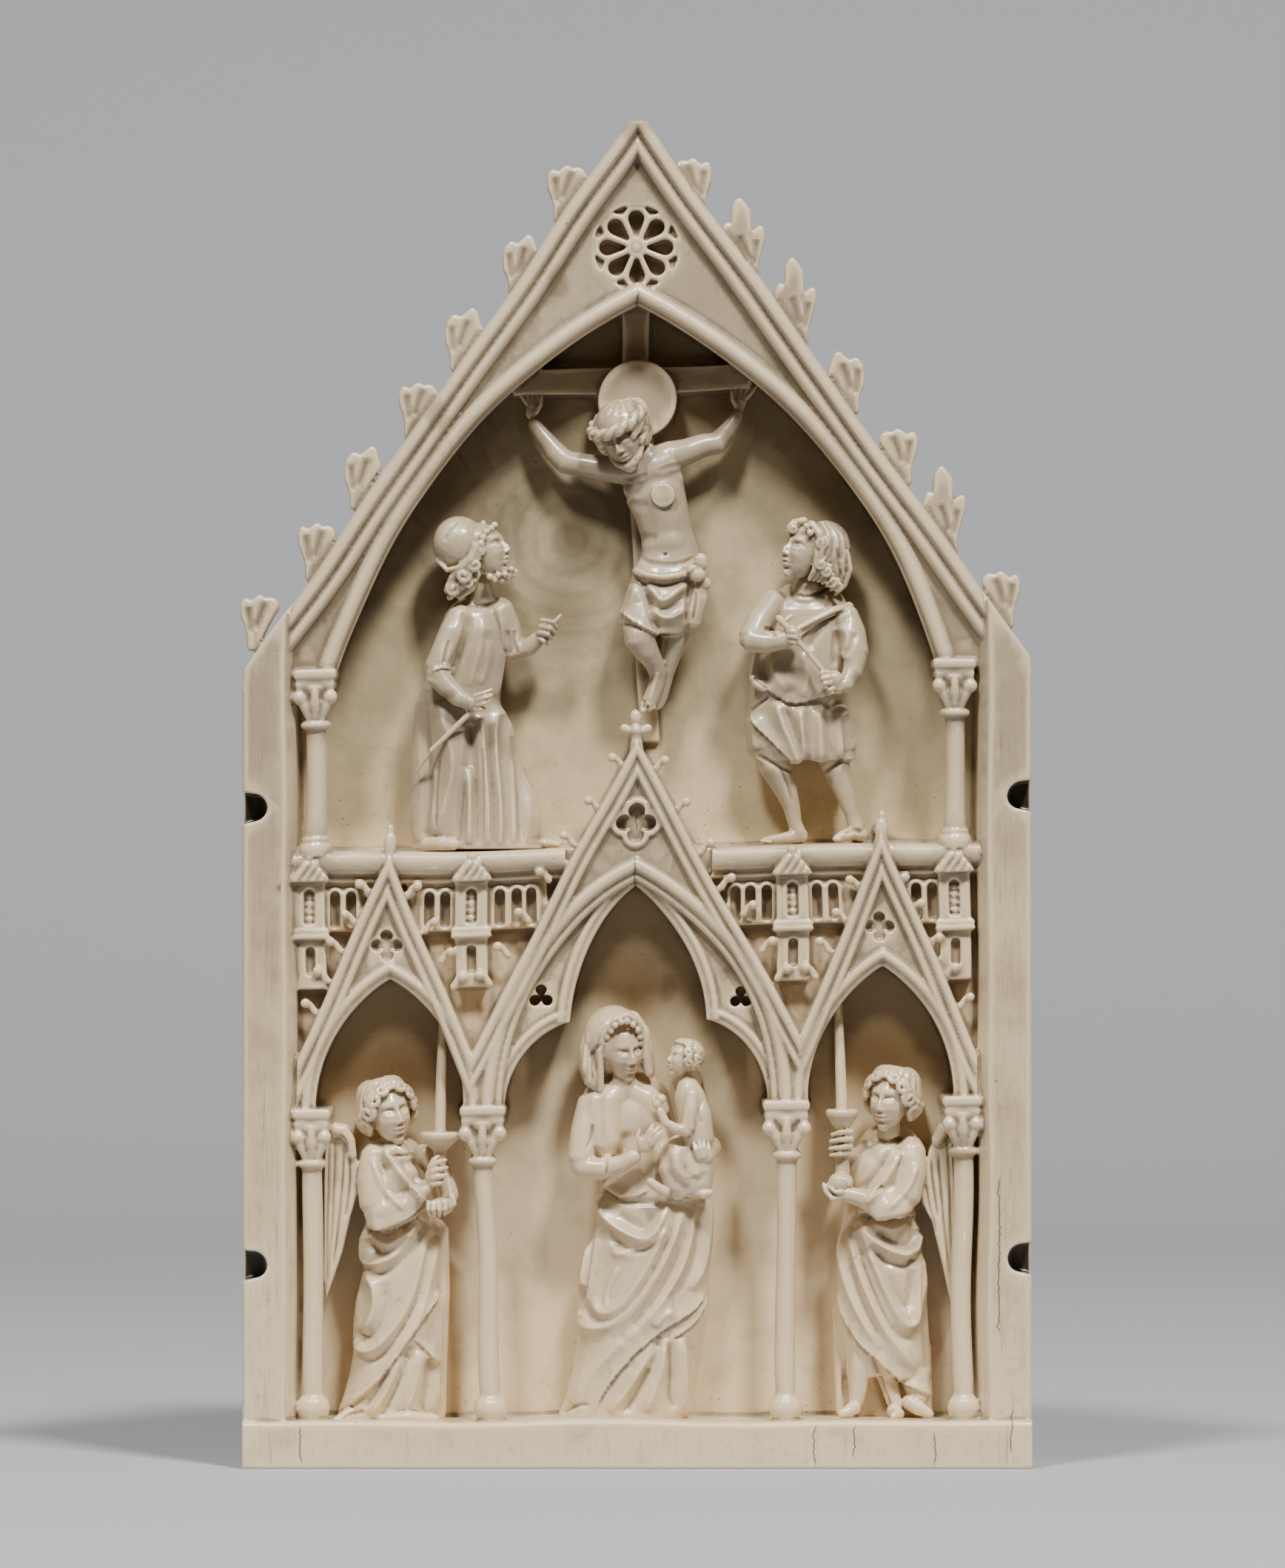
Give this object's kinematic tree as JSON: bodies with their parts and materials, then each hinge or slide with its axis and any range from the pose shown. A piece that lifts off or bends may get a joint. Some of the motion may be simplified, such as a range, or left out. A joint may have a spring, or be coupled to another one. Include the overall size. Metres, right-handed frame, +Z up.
{
  "type": "relief plaque",
  "caption": "Gabled ivory plaque carved in deep relief: figures under a pointed arch above, figures under a gabled arcade below.",
  "frame": {"origin": "middle of the underside of the base ledge", "axes": "+Z up to the tip of the gable, the carved front faces -Y, +X to the viewer's right"},
  "size_m": [0.1186, 0.022, 0.2026],
  "materials": {
    "ivory": "satin polish, warm cream with brown stains in the recesses and fine cracks along the grain"
  },
  "bodies": {
    "root": {"plaque": "ivory"}
  },
  "joints": []
}
